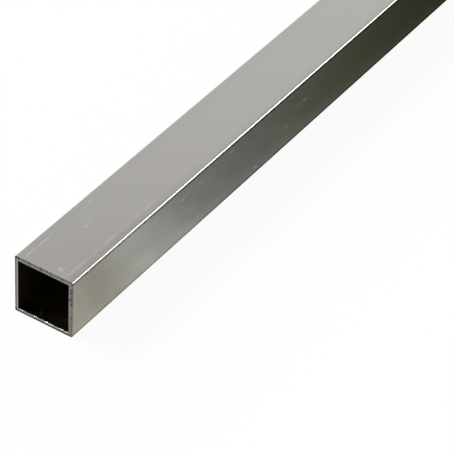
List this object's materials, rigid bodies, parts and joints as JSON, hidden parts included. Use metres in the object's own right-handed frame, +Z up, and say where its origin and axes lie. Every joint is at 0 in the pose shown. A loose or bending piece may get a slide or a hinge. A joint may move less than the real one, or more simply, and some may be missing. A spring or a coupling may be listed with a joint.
{
  "type": "square metal tube",
  "caption": "Straight square aluminium tube with a thin even wall, an open square bore and square sawn ends.",
  "frame": {"origin": "middle of the underside, half-way along the length and the width", "axes": "+X along the tube, +Z up out of the top flat, +Y across; the section is in the YZ plane"},
  "size_m": [0.9144, 0.0254, 0.0254],
  "materials": {
    "mill_aluminium": "mill finish as extruded, satin, with fine die lines along the length and bare saw marks on the ends"
  },
  "bodies": {
    "root": {"square_tube": "mill_aluminium"}
  },
  "joints": []
}
